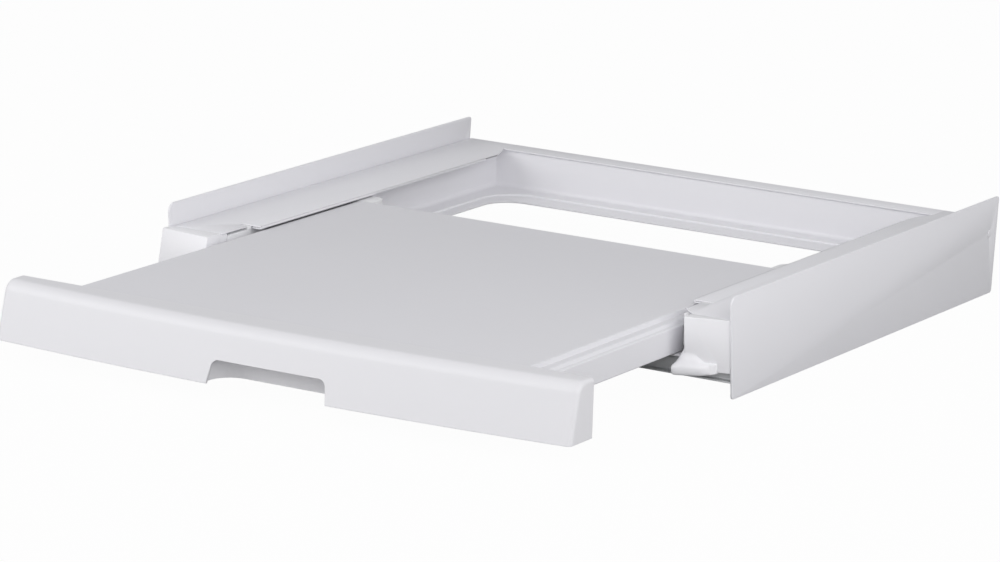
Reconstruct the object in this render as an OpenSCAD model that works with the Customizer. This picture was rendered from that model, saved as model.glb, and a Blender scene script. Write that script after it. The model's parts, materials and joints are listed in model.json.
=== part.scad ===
// Stacking frame for a tumble dryer on a washing machine, with a pull-out shelf.
// Frame coordinates: X across, Y from the front edge of the skirts to the rear,
// Z up from the top face of the decks. set_down() moves them to the floor.

/* [Frame] */
// Width over both skirts
frame_w = 600; // [570:2:640]
// Depth of the frame from front to rear
frame_d = 538; // [500:2:580]
// Sheet thickness of the skirts
skirt_t = 2; // [1.5:0.1:2.5]
// Height of the skirts above the decks
skirt_up = 22; // [15:1:30]
// Height of the skirts below the decks
skirt_down = 72; // [64:1:84]
// How far the front edge of a skirt leans back towards its foot
skirt_front_lean = 9; // [3:1:12]
// How far the rear edge of a skirt leans forward towards its foot
skirt_rear_lean = 7; // [2:1:12]
// Radius of the upper front corner of a skirt
skirt_front_r = 8; // [4:1:14]
// Radius of the other corners of a skirt
skirt_corner_r = 3; // [1:0.5:6]

/* [Decks and rear rail] */
// Sheet thickness of the decks, pan and rear rail
sheet_t = 1.5; // [1.2:0.1:1.8]
// Radius of the folds in the sheet, on its middle line
fold_r = 1.6; // [1.2:0.1:2.4]
// Width of a deck from the skirt to the edge of its lip
deck_w = 66; // [60:1:74]
// Where the decks start, from the front edge
deck_start = 8; // [8:0.5:9]
// Depth of the deck flange that lies against the skirt
deck_flange = 25; // [20:1:32]
// Width of the hem folded under the lip
hem_w = 10; // [6:1:13]
// Gap inside the hem
hem_gap = 0.4; // [0.3:0.1:0.8]
// Where the lip starts, from the front edge
lip_start = 56; // [50:1:64]
// Distance from the rear end of the lip hem to the rear of the frame
lip_rear = 78; // [70:1:100]
// Width of the top of the rear rail
rim_w = 26; // [20:1:32]
// Length of the slanted inner corners of the decks
corner_cut = 28; // [16:1:36]

/* [Base pan] */
// Width of the side channels, from the skirt to the outside of the pan wall
channel_w = 44.5; // [40:0.5:50]
// Depth of the pan, from the deck to the underside of its floor
pan_depth = 40.8; // [36:0.2:44]
// Distance from the rear wall of the pan to the rear of the frame
pan_rear = 22.5; // [18:0.5:26]
// Where the pan floor starts, from the front edge
pan_front = 24; // [20:1:30]
// Width of the flanges that join the pan to the decks
pan_flange = 12; // [8:1:18]
// Radius of the bend between wall and floor
pan_r = 4; // [2.5:0.5:6]
// Width of the floor outside the pressed step
step_w = 18; // [14:1:22]
// Depth of the pressed step
step_h = 2; // [1.6:0.1:3]
// Radius of the corners of the pressed step
step_r = 42; // [34:1:50]
// Width of the floor at the sides, from the wall to the window
floor_side = 34; // [30:1:42]
// Width of the floor at the rear, from the wall to the window
floor_rear = 47; // [40:1:56]
// Width of the floor at the front
floor_front = 38; // [34:1:48]
// Radius of the corners of the window
window_r = 30; // [16:1:32]

/* [Front brace] */
// Distance of the brace's web from the front edge
brace_y = 14; // [13:0.5:18]
// Distances of the brace screws from the middle
brace_screw_x = [70, 165]; // [40:1:190]
// Distance of the brace screws from the window
brace_screw_edge = 9; // [7:0.5:12]
// Sheet thickness of the brace
brace_t = 1.5; // [1.2:0.1:1.8]
// Height of the brace
brace_h = 14.7; // [12:0.1:17]
// Width of the flange under the pan
brace_flange = 42; // [36:1:42]
// Width of the lip at the foot of the brace
brace_lip = 6.5; // [4:0.5:6.5]
// Length of the end tabs that lie against the skirts
brace_tab = 30; // [20:1:46]

/* [End caps] */
// Height of the end cap faces
cap_h = 48.5; // [44:0.5:50]
// Wall thickness of the end caps
cap_wall = 2.4; // [1.8:0.1:3]
// Depth of the cap spigot in the side channel
cap_spigot = 23; // [16:1:23]
// Width of the left cap, which covers the front edge of its skirt
left_cap_w = 55.5; // [50:0.5:55.5]
// How far the left cap stands before the skirt, at its upper outer corner
left_cap_lead = 7; // [4:0.5:10]
// Angle of the left cap's face in plan
left_cap_bow = 7; // [3:0.5:9]
// Forward slope of the left cap's face
left_cap_slope = 12; // [6:0.5:14]
// Width of the right cap, which ends inside its skirt
right_cap_w = 40; // [36:0.5:50]
// How far the right cap's upper outer corner lies behind the skirt's front edge
right_cap_back = 3; // [0:0.5:4]
// Angle of the right cap's face in plan
right_cap_bow = 15.5; // [3:0.5:18]
// Backward slope of the right cap's face
right_cap_slope = 4.5; // [2:0.5:6]
// Radius of the scoop that runs from the face into the nose
nose_r = 14; // [8:1:18]
// Depth of the foot of the nose below the shelf flange
nose_h = 14; // [12:0.5:16]
// Height of the front of the nose
nose_lip = 12; // [9:0.5:12]
// Thickness of the nose before the scoop
nose_t = 5.5; // [4:0.5:7]
// How much further back the foot of the nose is than its top
nose_lean = 3; // [1:0.5:4]
// Length of the front of the nose
nose_len = 26; // [18:1:28]
// Gap between the shelf flange and the side of the nose
nose_gap = 8; // [6:0.5:10]
// Angle between the nose and the face in plan
nose_turn = 10.5; // [0:0.5:14]
// How far the nose stands before the face of the left cap
left_nose_reach = 8; // [4:0.5:12]
// How far the nose stands before the face of the right cap
right_nose_reach = 17; // [10:0.5:20]

/* [Guides and stops] */
// Clearance between sliding pieces at the sides
side_gap = 0.5; // [0.4:0.1:0.8]
// Length of the side pad of a guide
guide_len = 63; // [56:1:90]
// Where the guide pad starts, from the front edge
guide_y = 18; // [12:1:20]
// Length of the hold-down head of a guide
head_len = 6.5; // [5:0.5:14]
// Width of the hold-down head of a guide
head_w = 10; // [7:0.5:12]
// Length of a stop
stop_len = 12; // [8:1:20]
// Height of a stop
stop_h = 16; // [10:1:20]
// Thickness of the rubber pads under the pan
pad_t = 6.5; // [6:0.5:9]
// Length of a rubber pad
pad_len = 40; // [24:1:60]
// Width of a rubber pad
pad_w = 14; // [8:1:15]
// Distance of the rear pads from the rear of the frame
pad_rear = 60; // [50:1:90]

/* [Shelf] */
// How far the shelf stands out from its closed place
pull_out = 212.5; // [120:0.5:230]
// Depth of the shelf tray
shelf_d = 458; // [440:2:480]
// Sheet thickness of the shelf
shelf_t = 1; // [0.8:0.1:1.4]
// Gap between the shelf flange and the pan wall
shelf_gap = 9; // [7:0.5:11]
// Gap between the lip and the shelf
lift_gap = 1.1; // [0.8:0.1:2]
// Gap between the shelf flange and the pan floor
floor_gap = 1; // [0.8:0.1:2]
// Width of the stepped shoulder along the sides of the shelf
shoulder_w = 10; // [9:0.5:12]
// Drop of the shoulder
shoulder_h = 9.4; // [9:0.1:11]
// Drop from the shelf top to the ledge of the shoulder
ledge_h = 4.4; // [3.6:0.1:4.8]
// Distance from the side of the shelf to the outer edge of the ledge
ledge_in = 3.6; // [3.4:0.1:4.2]
// How far each step of the shoulder leans out over its height
step_lean = 1; // [0.6:0.1:1.4]
// Width of the return flange at the foot of the shelf sides
return_w = 10; // [6:1:12]
// Depth of the shelf's front and rear flanges
end_flange = 30; // [20:1:31]
// Height of the stiffeners under the shelf
stiff_h = 18; // [10:1:22]
// Width of the crown of a stiffener
stiff_w = 40; // [24:1:60]
// Width of each foot of a stiffener
stiff_foot = 14; // [10:1:20]
// Distance from the shelf's front edge to the first stiffener
stiff_1 = 130; // [90:1:170]
// Distance from the shelf's front edge to the second stiffener
stiff_2 = 320; // [280:1:350]

/* [Rear glides] */
// Length of a glide behind the shelf
glide_len = 26; // [20:1:34]
// Width of a glide
glide_w = 25; // [20:1:28]
// Radius of the inner corner of a glide
glide_r = 12; // [6:1:16]
// Length of the tongue that fixes the glide in the shelf
tongue_len = 24; // [16:1:30]
// How far the ear of a glide stands out past the shelf side
ear_w = 6; // [4:0.5:6]
// Distance of the ear from the front and rear of the glide
ear_inset = 3; // [2:0.5:5]
// Gap between a glide and the pan floor
sole_gap = 0.3; // [0.2:0.1:0.6]

/* [Front panel] */
// Width of the front panel
panel_w = 594; // [560:2:598]
// Height of the front panel
panel_h = 52.5; // [46:0.5:56]
// How far the panel stands above the shelf
panel_rise = 1; // [0.5:0.5:3]
// Depth of the ends of the panel at the foot
panel_foot = 36; // [32:0.5:42]
// Depth of the ends of the panel at the top
panel_top = 23; // [18:0.5:26]
// Forward bow of the panel at its middle
panel_bow = 14; // [8:0.5:22]
// Wall thickness of the panel
panel_wall = 3; // [2.4:0.1:3.6]
// Radius of the upper front edge of the panel
panel_r = 13; // [6:0.5:14]
// Radius of the front corners of the panel at its ends
panel_end_r = 7; // [4:0.5:10]
// Thickness of the panel ribs
rib_t = 2; // [1.6:0.1:2.8]
// Distance between the panel ribs
rib_pitch = 54; // [48:1:60]
// Distances of the panel screws from the shelf's side
boss_in = [38, 146]; // [24:1:160]
// Length of the panel screws inside the panel
panel_grip = 12; // [8:1:13]
// Radius of the screw bosses
boss_r = 5; // [4.5:0.5:7]
// Gap between the closed panel and the end caps
close_gap = 0.6; // [0.4:0.1:2]

/* [Finger recess] */
// Width of the recess at the foot of the panel
recess_w = 123; // [90:1:140]
// Height of the recess
recess_h = 21; // [16:1:26]
// How much narrower the recess is at its top, on each side
recess_taper = 3.5; // [1:0.5:6]
// Radius of the top corners of the recess
recess_r = 8; // [4:0.5:10]
// Wall thickness of the finger cup
cup_wall = 2; // [1.6:0.1:2.6]
// Depth of the finger cup behind the panel face
cup_d = 30; // [24:1:32]
// Radius of the rear corners of the finger cup
cup_r = 22; // [12:1:24]
// How far the cup stops above the foot of the panel
cup_rise = 1.5; // [1:0.5:8]

/* [Screws] */
// Shank radius of the screws
screw_r = 1.9; // [1.6:0.1:2.2]
// Head radius of the screws
screw_head_r = 3.8; // [3.4:0.1:4.4]
// Head height of the screws
screw_head_h = 2; // [1.6:0.1:2.6]
// Radial clearance of the screw holes
screw_gap = 0.2; // [0.1:0.05:0.4]
// How far the brace screws and rivets stand out inside
screw_tail = 3; // [2:0.5:5]
// Length of the screws inside a guide or stop
screw_grip = 5; // [4:0.5:5.5]
// Height of the rivet heads
rivet_head_h = 0.8; // [0.6:0.1:1.2]
// Height of the skirt rivets below the deck
skirt_rivet_z = 12; // [8:1:18]
// Distance of the skirt rivets from the rear of the frame
skirt_rivet_y = 18; // [14:1:24]

/* [Hidden] */

// Clearance between pieces that only meet
seat = 0.3;
// Overshoot of a cutting shape
cut = 1;
// Rounding of a corner that looks sharp
edge_r = 0.1;
// Steps in a fold or a small drawn arc
arc_steps = 6;
// Steps in the scoop of the nose
scoop_steps = 10;
// Facets of a full circle, for small and large rounds
$fn = 48;
bow_fn = 720;

// Sides of the frame
half_w = frame_w / 2;
in_x = half_w - skirt_t;
lip_x = in_x - deck_w;
wall_x = in_x - channel_w;
wall_in = wall_x - sheet_t;
shelf_x = wall_in - shelf_gap;
front_x = shelf_x + side_gap;
notch_x = wall_in;
nose_x = shelf_x + nose_gap;

// Heights
lip_z = -(2 * sheet_t + hem_gap);
shelf_z = lip_z - lift_gap;
floor_z = -(pan_depth - sheet_t);
flange_z = floor_z + floor_gap;
land_z = flange_z - seat;
step_z = -pan_depth - step_h;
brace_foot = step_z - brace_h;
nose_z = land_z - nose_h;
nose_top = nose_z + nose_lip;
spigot_z0 = -pan_depth + seat;
spigot_z1 = -2 * sheet_t - seat;
pad_z = -pan_depth - pad_t;

// Depths
pan_back = frame_d - pan_rear;
wall_back = pan_back - sheet_t;
lip_end = frame_d - lip_rear;
rim_y = frame_d - rim_w;
window_front = pan_front + floor_front;
window_back = wall_back - floor_rear;
window_x = wall_in - floor_side;
step_front = pan_front + step_w;
step_back = wall_back - step_w;
step_x = wall_in - step_w;

// The foot of the left cap's face, which the panel's end wall meets
panel_x = panel_w / 2;
meet_y = -left_cap_lead - cap_h * tan(left_cap_slope)
    - (half_w - panel_x + panel_wall) * tan(left_cap_bow);
closed_back = meet_y - close_gap;
panel_back = closed_back - pull_out;
shelf_front = panel_back + seat;
shelf_back = shelf_front + shelf_d;

// Panel
panel_z1 = shelf_z + panel_rise;
panel_z0 = panel_z1 - panel_h;
bow_r = (panel_x * panel_x + panel_bow * panel_bow) / (2 * panel_bow);
panel_nose = panel_back - panel_foot - panel_bow;
bow_y = panel_nose + bow_r;
bow_angle = 2 * asin(panel_x / bow_r) + 2;
panel_slope = atan((panel_foot - panel_top) / panel_h);
recess_x = recess_w / 2;
recess_z = panel_z0 + recess_h;
rib_back = shelf_front - seat;
boss_z = shelf_z - end_flange / 2;

// Glides and stops
tray_in = shelf_x - shelf_t;
glide_y = shelf_back + seat;
glide_back = glide_y + glide_len;
stop_y = glide_y + ear_inset - seat - stop_len;
glide_top = shelf_z;
glide_z = floor_z + sole_gap;
ear_x = shelf_x + ear_w;
stop_z = (shelf_z + flange_z) / 2;
tongue_z1 = shelf_z - shoulder_h - shelf_t - 1.5;
tongue_z0 = flange_z + shelf_t + 3;
guide_end = 8;
head_y = lip_start - head_len - seat;
end_x = shelf_x - shoulder_w - cut;
boss_x = [for (d = boss_in) shelf_x - d];
guide_screw_places = [[pan_front + guide_end, stop_z], [guide_y + guide_len - guide_end, stop_z],
    [stop_y + stop_len / 2, stop_z]];
glide_screw_y = shelf_back - tongue_len / 2;
brace_screw_y = window_front - brace_screw_edge;

// Origin: under the middle of the whole box, at the foot of the skirts. The foremost
// points are the foot of the panel on both sides of the recess.
foremost_y = bow_y - sqrt(bow_r * bow_r - recess_x * recess_x);
mid_y = (frame_d + foremost_y) / 2;

module set_down() {
    translate([0, -mid_y, skirt_down]) children();
}

module both_sides() {
    children();
    mirror([1, 0, 0]) children();
}

// An extrusion along Y of a profile drawn in X and Z
module along_y(y0, y1) {
    translate([0, y1, 0]) rotate([90, 0, 0]) linear_extrude(y1 - y0) children();
}

// An extrusion along X of a profile drawn in Y and Z
module along_x(x0, x1) {
    translate([x0, 0, 0]) rotate([90, 0, 90]) linear_extrude(x1 - x0) children();
}

module block(low, high) {
    translate(low) cube(high - low);
}

// A round rod from one point along X or Y
module rod_x(p, r, len) {
    translate(p) rotate([0, 90, 0]) cylinder(h = len, r = r);
}

module rod_y(p, r, len) {
    translate(p) rotate([-90, 0, 0]) cylinder(h = len, r = r);
}

// Folded sheet: an outline of thickness t round a middle line, with rounded bends
function unit(v) = v / norm(v);
function left_of(v) = [-v[1], v[0]];
function turn(u, w) = atan2(u[0] * w[1] - u[1] * w[0], u * w);
function spun(v, a) = [v[0] * cos(a) - v[1] * sin(a), v[0] * sin(a) + v[1] * cos(a)];

function bend(a, b, c, off, r) =
    let (u = unit(b - a), w = unit(c - b), angle = turn(u, w), s = sign(angle))
    let (centre = b - u * r * tan(abs(angle) / 2) + left_of(u) * s * r)
    [for (k = [0 : arc_steps]) centre - left_of(spun(u, angle * k / arc_steps)) * s * (r - s * off)];

function edge_line(path, off, r) =
    let (n = len(path) - 1)
    concat(
        [path[0] + left_of(unit(path[1] - path[0])) * off],
        [for (i = [1 : n - 1]) for (p = bend(path[i - 1], path[i], path[i + 1], off, r)) p],
        [path[n] + left_of(unit(path[n] - path[n - 1])) * off]);

function flipped(list) = [for (i = [len(list) - 1 : -1 : 0]) list[i]];

function sheet_outline(path, t, r) =
    concat(edge_line(path, t / 2, r), flipped(edge_line(path, -t / 2, r)));

module sheet(path, t, r) {
    polygon(sheet_outline(path, t, r));
}

// Outline with each corner rounded by its own radius
function rounded_corner(a, b, c, r) =
    let (u = unit(b - a), w = unit(c - b), angle = turn(u, w), s = sign(angle))
    let (centre = b - u * r * tan(abs(angle) / 2) + left_of(u) * s * r)
    [for (k = [0 : arc_steps]) centre - left_of(spun(u, angle * k / arc_steps)) * s * r];

function rounded_outline(points, radii) =
    let (n = len(points))
    [for (i = [0 : n - 1])
        for (p = rounded_corner(points[(i + n - 1) % n], points[i], points[(i + 1) % n], radii[i])) p];

// Rectangle from low to high with round corners
module round_rect(low, high, r) {
    translate([low[0] + r, low[1]]) square([high[0] - low[0] - 2 * r, high[1] - low[1]]);
    translate([low[0], low[1] + r]) square([high[0] - low[0], high[1] - low[1] - 2 * r]);
    for (x = [low[0] + r, high[0] - r], y = [low[1] + r, high[1] - r])
        translate([x, y]) circle(r);
}

// Skirts: flat plates that stand above and below the decks
module skirt() {
    outline = [[skirt_front_lean, -skirt_down], [frame_d - skirt_rear_lean, -skirt_down],
        [frame_d, skirt_up], [0, skirt_up]];
    radii = [skirt_corner_r, skirt_corner_r, skirt_corner_r, skirt_front_r];
    difference() {
        along_x(in_x, half_w) polygon(rounded_outline(outline, radii));
        rod_x([in_x - cut, frame_d - skirt_rivet_y, -skirt_rivet_z], screw_r + screw_gap, skirt_t + 2 * cut);
    }
}

// Decks: folded plates with a flange on the skirt and a hemmed lip over the shelf
module deck() {
    middle = -sheet_t / 2;
    hem_z = -1.5 * sheet_t - hem_gap;
    hem_x = lip_x + sheet_t / 2;
    outer = in_x - sheet_t / 2;
    hem_r = (sheet_t + hem_gap) / 2;
    deck_end = frame_d - sheet_t - seat;
    plan = [[front_x, deck_start], [in_x, deck_start], [in_x, deck_end], [lip_x + corner_cut * 0.4, deck_end],
        [lip_x + corner_cut * 0.4, rim_y], [hem_x, rim_y - corner_cut], [hem_x, lip_end + seat],
        [hem_x, lip_start], [notch_x, lip_start], [notch_x, head_y - seat], [front_x, head_y - seat]];
    difference() {
        intersection() {
            along_y(0, frame_d) sheet([[outer, -deck_flange], [outer, middle], [hem_x, middle]], sheet_t, fold_r);
            translate([0, 0, -deck_flange - cut]) linear_extrude(deck_flange + 2 * cut) polygon(plan);
        }
        rod_x([outer - sheet_t, frame_d - skirt_rivet_y, -skirt_rivet_z], screw_r + screw_gap, 2 * sheet_t);
    }
    along_y(lip_start, lip_end)
        sheet([[hem_x + hem_w, middle], [hem_x, middle], [hem_x, hem_z], [hem_x + hem_w, hem_z]], sheet_t, hem_r * 0.99);
}

// Rear rail: a channel behind the pan with a flat rim on top
module rear_rail() {
    middle = -sheet_t / 2;
    back = frame_d - sheet_t / 2;
    foot = -pan_depth - sheet_t / 2;
    rim_x = lip_x + corner_cut * 0.4 - seat;
    color("white") set_down() {
        along_x(-rim_x, rim_x)
            sheet([[rim_y, middle], [back, middle], [back, foot], [step_back + seat, foot]], sheet_t, fold_r);
        both_sides()
            along_x(rim_x, in_x - seat)
                sheet([[back, -sheet_t - seat], [back, foot], [wall_back, foot]], sheet_t, fold_r);
    }
}

// Solid inside the pan walls, grown outwards by grow
module pan_solid(grow, top) {
    low = floor_z - grow;
    r = pan_r + grow;
    x = wall_in + grow;
    back = wall_back + grow;
    intersection() {
        along_y(pan_front, back + cut) {
            translate([-x, low + r]) square([2 * x, top - low - r]);
            translate([-x + r, low]) square([2 * x - 2 * r, r + cut]);
            for (side = [-1, 1])
                translate([side * (x - r), low + r]) circle(r);
        }
        along_x(-x - cut, x + cut) {
            translate([pan_front - cut, low]) square([back - r - pan_front + cut, top - low]);
            translate([pan_front, low + r]) square([back - pan_front, top - low - r]);
            translate([back - r, low + r]) circle(r);
        }
    }
}

// Base pan: pressed floor round a window, with side and rear walls
module base_pan() {
    wall_top = -sheet_t;
    color("white") set_down() difference() {
        union() {
            difference() {
                pan_solid(sheet_t, wall_top);
                pan_solid(0, cut);
                translate([0, 0, -pan_depth - cut]) linear_extrude(pan_depth / 2)
                    round_rect([-step_x, step_front], [step_x, step_back], step_r);
            }
            translate([0, 0, step_z]) linear_extrude(step_h + sheet_t) difference() {
                round_rect([-step_x, step_front], [step_x, step_back], step_r);
                round_rect([-step_x + sheet_t, step_front + sheet_t], [step_x - sheet_t, step_back - sheet_t], step_r - sheet_t);
            }
            translate([0, 0, step_z]) linear_extrude(sheet_t) difference() {
                round_rect([-step_x, step_front], [step_x, step_back], step_r);
                round_rect([-window_x, window_front], [window_x, window_back], window_r);
            }
            // Flanges under the decks and the rim
            for (side = [0, 1]) mirror([side, 0, 0])
                block([wall_in, pan_front, -2 * sheet_t], [wall_x + pan_flange, pan_back, -sheet_t]);
            block([-wall_in, wall_back, -2 * sheet_t], [wall_in, pan_back + pan_flange, -sheet_t]);
        }
        brace_screw_places() translate([0, 0, -cut]) cylinder(h = 3 * cut + sheet_t, r = screw_r + screw_gap);
        both_sides() for (p = guide_screw_places)
            rod_x([wall_in - cut, p[0], p[1]], screw_r + screw_gap, sheet_t + 2 * cut);
    }
}

// Front brace: a folded galvanised strip under the front of the pan
module brace_screw_places() {
    for (x = brace_screw_x, side = [-1, 1])
        translate([side * x, brace_screw_y, step_z]) children();
}

module front_brace() {
    top = step_z - brace_t / 2;
    foot = brace_foot + brace_t / 2;
    web = brace_y + brace_t / 2;
    end = in_x - seat;
    color("silver") set_down() difference() {
        union() {
            along_x(-end, end)
                sheet([[brace_y + brace_flange, top], [web, top], [web, foot], [web - brace_lip, foot]], brace_t, fold_r);
            both_sides()
                block([end - brace_t, brace_y + fold_r + brace_t, brace_foot], [end, brace_y + brace_tab, step_z - brace_t / 2]);
        }
        brace_screw_places() translate([0, 0, -brace_t - cut]) cylinder(h = brace_t + 2 * cut, r = screw_r + screw_gap);
    }
}

// End caps: sloped plastic faces with a scooped nose under the shelf flange.
// outer is the outer edge of the face, lead and slope point forward.
module cap_wedge(outer, lead, bow, slope, inset, z0, z1) {
    lean = tan(slope);
    reach = frame_w / 4;
    translate([outer, 0, 0]) rotate([0, 0, bow]) translate([-outer, 0, 0])
        along_x(outer - reach, outer + reach)
            polygon([[inset - lead + z1 * lean, z1], [inset - lead + z0 * lean, z0],
                [cap_spigot + reach, z0], [cap_spigot + reach, z1]]);
}

// Section of the nose, from its front at 0: a leaning lip and a scoop up to the face
module nose_section() {
    arc_z = nose_top + nose_r;
    arc = [for (k = [0 : scoop_steps]) let (a = 90 * k / scoop_steps)
        [nose_t + nose_r * sin(a), arc_z - nose_r * cos(a)]];
    depth = frame_w / 8;
    lip = rounded_corner([nose_lean, nose_z], [0, nose_top], [nose_t, nose_top], nose_lip / 3);
    polygon(concat([[depth, nose_z], [nose_lean, nose_z]], lip, arc, [[depth, arc_z]]));
}

// Nose: its section along a line turned from the face, cut to its plan and its front view
module cap_nose(inner, front_y, turned) {
    rear = deck_start - seat;
    tip = [nose_x + nose_len * cos(turned), front_y + nose_len * sin(turned)];
    side = nose_h - nose_lip + cut;
    step_x = max(inner, nose_x + cut);
    intersection() {
        translate([nose_x, front_y, 0]) rotate([0, 0, turned]) along_x(-nose_len, 2 * nose_len) nose_section();
        translate([0, 0, nose_z - cut]) linear_extrude(nose_lip + nose_r + 2 * cut)
            polygon([[nose_x, rear], [nose_x, front_y], tip, tip + [rear - tip[1], rear - tip[1]]]);
        along_y(front_y - nose_len, rear)
            polygon([[nose_x, nose_z], [tip[0], nose_z], [tip[0] + nose_lip, nose_z + side],
                [tip[0] + nose_lip, nose_top], [step_x, nose_top + nose_r], [step_x, nose_top], [nose_x, nose_top]]);
    }
}

module end_cap(outer, width, lead, bow, slope, reach) {
    inner = outer - width;
    side_in = max(wall_x, inner) + seat;
    side_out = in_x - sheet_t - seat;
    face_in = in_x - seat;
    rear = deck_start - seat;
    face_y = (nose_top * tan(slope) - lead) / cos(bow) - width * tan(bow);
    difference() {
        union() {
            intersection() {
                cap_wedge(outer, lead, bow, slope, 0, -cap_h, 0);
                block([inner, -frame_d, -cap_h], [face_in, rear, 0]);
            }
            // The part before the front edge of the skirt
            if (outer > in_x)
                intersection() {
                    cap_wedge(outer, lead, bow, slope, 0, -cap_h, 0);
                    block([face_in - cut, -frame_d, -cap_h], [outer, -seat, 0]);
                }
            // Spigot in the side channel, with the foot of the face before the brace
            intersection() {
                cap_wedge(outer, lead, bow, slope, cap_wall / 2, -cap_h, spigot_z1);
                union() {
                    block([side_in, rear - cut, spigot_z0], [side_out, cap_spigot, spigot_z1]);
                    block([side_in, rear - cut, -cap_h], [side_out, rear + cap_wall, spigot_z0 + cut]);
                }
            }
            // Land under the shelf flange
            block([shelf_x - return_w + side_gap, rear - 2 * cut, land_z - cap_wall],
                [inner + cap_wall, cap_spigot - cut, land_z]);
            cap_nose(inner, face_y - reach, bow + nose_turn);
        }
        // Hollow behind the face
        intersection() {
            cap_wedge(outer, lead, bow, slope, 1.2 * cap_wall, spigot_z0 + cap_wall, spigot_z1 - cap_wall);
            block([side_in + cap_wall, -frame_d, -cap_h], [side_out - cap_wall, frame_d, 0]);
        }
    }
}

// Guides: a side pad for the shelf flange and a head that holds the shelf down
module guide() {
    pad_in = shelf_x + side_gap;
    pad_out = wall_in - seat;
    low = flange_z + 2;
    difference() {
        union() {
            along_x(pad_in, pad_out) translate([guide_y, low])
                polygon([[0, 4], [4, 0], [guide_len - 4, 0], [guide_len, 4], [guide_len, lip_z - seat - low], [0, lip_z - seat - low]]);
            block([pad_in, head_y, lip_z - cut], [pad_out, head_y + head_len, -sheet_t - seat]);
            translate([0, 0, lip_z - seat]) linear_extrude(-lip_z - seat)
                round_rect([notch_x - seat - head_w, head_y], [notch_x - seat, head_y + head_len], 2);
        }
        for (i = [0, 1])
            rod_x([pad_out - screw_grip, guide_screw_places[i][0], stop_z], screw_r + screw_gap / 2, screw_grip + cut);
    }
}

// Stops: blocks that catch the ears of the glides
module stop() {
    pad_in = shelf_x + screw_head_h + side_gap;
    pad_out = wall_in - seat;
    difference() {
        translate([0, stop_y, stop_z - stop_h / 2]) along_x(pad_in, pad_out)
            round_rect([0, 0], [stop_len, stop_h], 2);
        rod_x([pad_out - screw_grip, stop_y + stop_len / 2, stop_z], screw_r + screw_gap / 2, screw_grip + cut);
    }
}

// Rubber pads between the pan and the machine below
module frame_pads() {
    x = (wall_in - pan_r + step_x) / 2;
    color("dimgray") set_down() both_sides()
        for (y = [brace_y + brace_flange + 6, frame_d - pad_rear - pad_len])
            translate([0, 0, pad_z]) linear_extrude(pad_t)
                round_rect([x - pad_w / 2, y], [x + pad_w / 2, y + pad_len], 3);
}

// Pan-head screw along +X: shank from the origin, head at its end
module screw(len) {
    cylinder(h = len, r = screw_r);
    translate([0, 0, len]) difference() {
        cylinder(h = screw_head_h, r1 = screw_head_r, r2 = screw_head_r * 0.75);
        for (a = [0, 90]) rotate(a)
            translate([-screw_head_r * 0.5, -0.4, screw_head_h * 0.45]) cube([screw_head_r, 0.8, screw_head_h]);
    }
}

// Rivets that join the skirts to the flanges of the decks
module skirt_rivets() {
    len = sheet_t + skirt_t + screw_tail;
    color("gainsboro") set_down() both_sides()
        translate([half_w - len, frame_d - skirt_rivet_y, -skirt_rivet_z]) rotate([0, 90, 0]) {
            cylinder(h = len, r = screw_r);
            translate([0, 0, len]) cylinder(h = rivet_head_h, r1 = screw_head_r, r2 = screw_head_r * 0.7);
        }
}

module brace_screws() {
    len = sheet_t + brace_t + screw_tail;
    color("silver") set_down() brace_screw_places()
        translate([0, 0, sheet_t + screw_tail]) rotate([180, 0, 0]) screw(len);
}

module guide_screws() {
    len = screw_grip + sheet_t;
    color("silver") set_down() both_sides() for (p = guide_screw_places)
        translate([wall_x - len, p[0], p[1]]) rotate([0, 90, 0]) screw(len);
}

// Shelf tray: a folded sheet with stepped shoulders, side flanges and returns
module shelf_profile() {
    top = shelf_z - shelf_t / 2;
    foot = flange_z + shelf_t / 2;
    x = shelf_x - shelf_t / 2;
    half = [[x - shoulder_w, top], [x - shoulder_w + step_lean, top - ledge_h],
        [x - ledge_in, top - ledge_h - step_lean], [x - ledge_in + step_lean, top - shoulder_h + step_lean],
        [x, top - shoulder_h], [x, foot], [x - return_w, foot]];
    mirrored = [for (p = flipped(half)) [-p[0], p[1]]];
    sheet(concat(mirrored, half), shelf_t, shelf_t);
}

module shelf_tray() {
    color("whitesmoke") set_down() difference() {
        union() {
            along_y(shelf_front, shelf_back) shelf_profile();
            for (y = [shelf_front, shelf_back - shelf_t])
                block([-end_x, y, shelf_z - end_flange], [end_x, y + shelf_t, shelf_z - shelf_t / 2]);
        }
        for (x = boss_x, side = [-1, 1])
            rod_y([side * x, shelf_front - cut, boss_z], screw_r + screw_gap, shelf_t + 2 * cut);
        both_sides() rod_x([tray_in - cut, glide_screw_y, stop_z], screw_r + screw_gap, shelf_t + 2 * cut);
    }
}

// Stiffeners: hat sections across the shelf, under its top
module stiffener(y) {
    top = shelf_z - shelf_t - shelf_t / 2;
    low = top - stiff_h;
    w = stiff_w / 2;
    slope = stiff_h * 0.25;
    path = [[y - w - slope - stiff_foot, top], [y - w - slope, top], [y - w, low], [y + w, low],
        [y + w + slope, top], [y + w + slope + stiff_foot, top]];
    color("silver") set_down()
        along_x(-shelf_x + shoulder_w + 4, shelf_x - shoulder_w - 4) sheet(path, shelf_t, fold_r);
}

// Panel section: distance behind the bow's outermost line, and height
module panel_section(inset) {
    over = inset > 0 ? cut : 0;
    back = panel_foot + panel_bow + over;
    lean = panel_foot - panel_top;
    points = [[inset, panel_z0 - over], [lean + inset, panel_z1 - inset],
        [back, panel_z1 - inset], [back, panel_z0 - over]];
    polygon(rounded_outline([for (p = points) [bow_r - p[0], p[1]]],
        [edge_r, max(panel_r - inset, 1), edge_r, edge_r]));
}

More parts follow.
